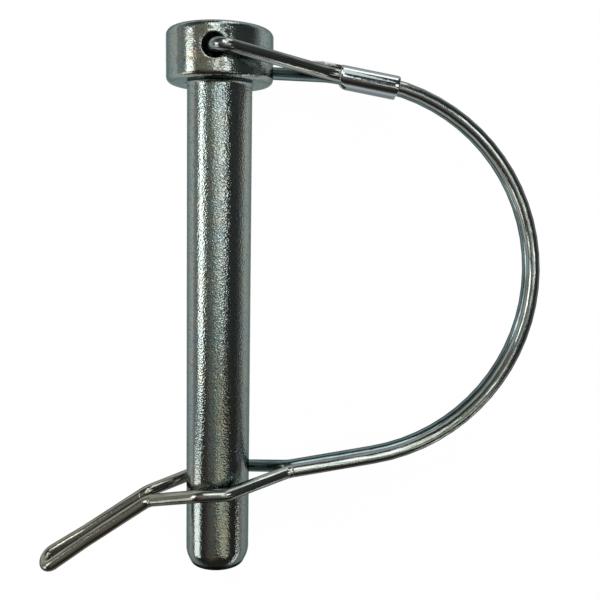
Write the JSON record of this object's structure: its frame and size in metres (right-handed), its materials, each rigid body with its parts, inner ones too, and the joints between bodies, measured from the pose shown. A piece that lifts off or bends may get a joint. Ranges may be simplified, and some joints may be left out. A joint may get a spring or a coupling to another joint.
{
  "type": "round-bow wire lock pin",
  "caption": "Steel lock pin with a thick round head and a doubled spring-wire bow that swings from the head and snaps round the shank near its tip.",
  "frame": {"origin": "on the pin's axis, at the flat underside of the head", "axes": "+Y along the pin towards its head, so the tip is at -Y; the bow leaves the head towards +X; the cross hole and the bow's hinge run along Z; +Z faces the camera and is up as the pin lies"},
  "size_m": [0.0787, 0.0854, 0.0228],
  "materials": {
    "pin_steel": "bright zinc plating, tumbled",
    "wire_steel": "bright zinc plating, drawn wire",
    "ferrule_steel": "bright zinc plating, smooth"
  },
  "bodies": {
    "pin": {"pin": "pin_steel"},
    "bow": {"wire_bow": "wire_steel", "ferrule": "ferrule_steel"}
  },
  "joints": [
    {"name": "bow_swing", "type": "hinge", "parent": "pin", "child": "bow", "pos_m": [0.00015, 0.00415, 0], "axis": [0, 0, 1], "range_deg": [0, 248], "deforming": ["wire_bow"]}
  ]
}
